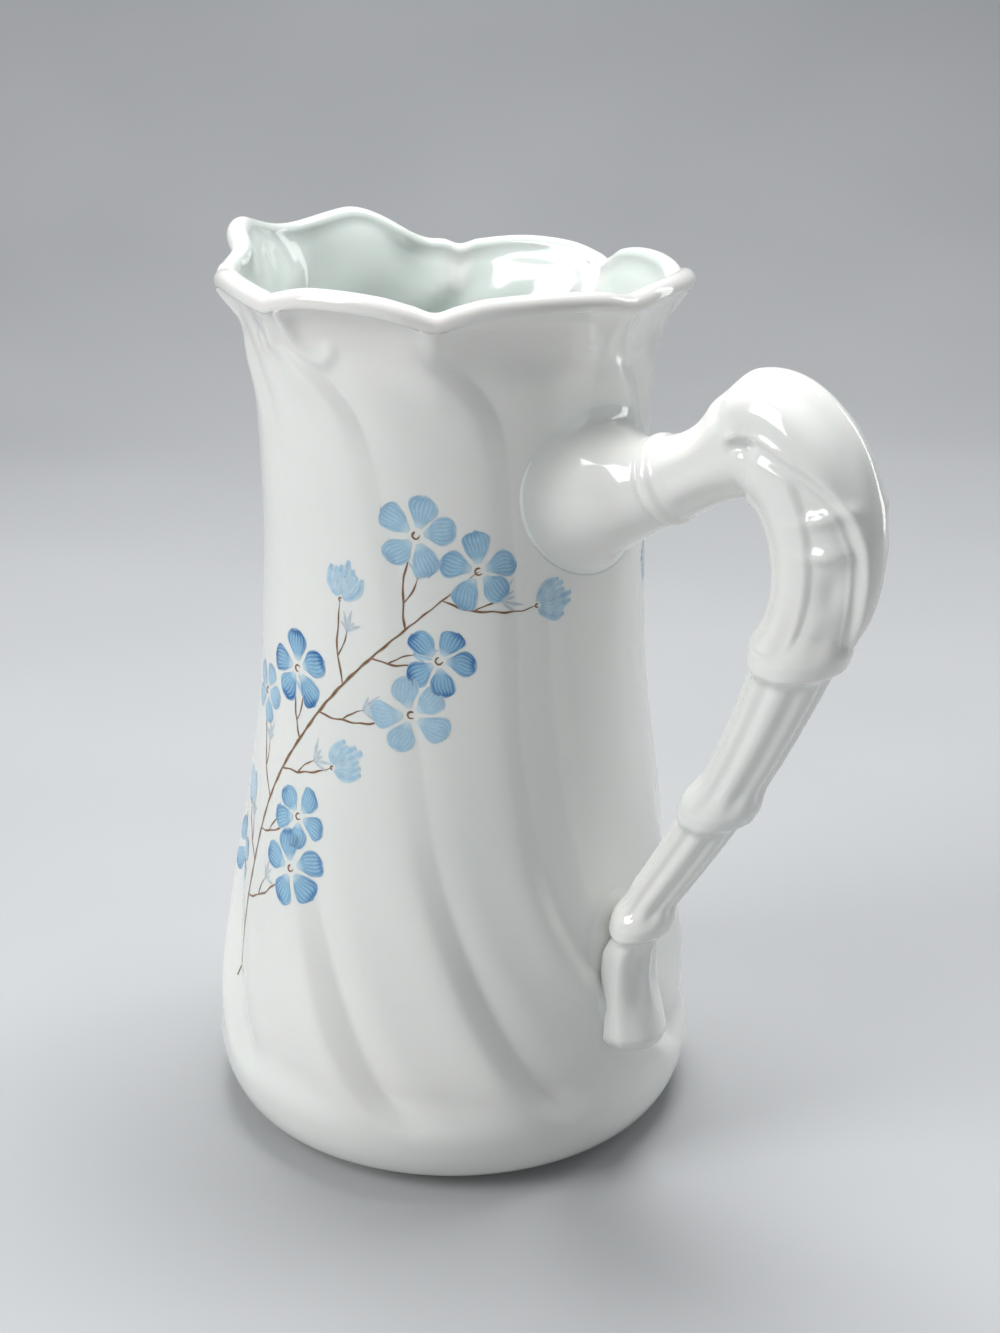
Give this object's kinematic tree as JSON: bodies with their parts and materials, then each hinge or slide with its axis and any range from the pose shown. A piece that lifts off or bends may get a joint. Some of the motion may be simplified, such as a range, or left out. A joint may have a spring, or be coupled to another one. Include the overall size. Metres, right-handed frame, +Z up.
{
  "type": "cream jug",
  "caption": "Tall waisted porcelain cream jug: swirl-fluted body, scalloped rim, humped pouring spout, ribbed bamboo-style scroll handle, blue blossom decoration.",
  "frame": {"origin": "on the jug's axis, in the plane of the foot ring's ground face", "axes": "+Z up the jug's axis, +X towards the handle, -X towards the pouring spout"},
  "size_m": [0.1061, 0.073, 0.13],
  "materials": {
    "glazed_porcelain": "clear gloss glaze over white porcelain",
    "biscuit": "unglazed, ground matte"
  },
  "bodies": {
    "root": {"body": "glazed_porcelain", "handle": "glazed_porcelain", "upper_slip": "glazed_porcelain", "lower_slip": "glazed_porcelain", "foot_ring": "biscuit"}
  },
  "joints": []
}
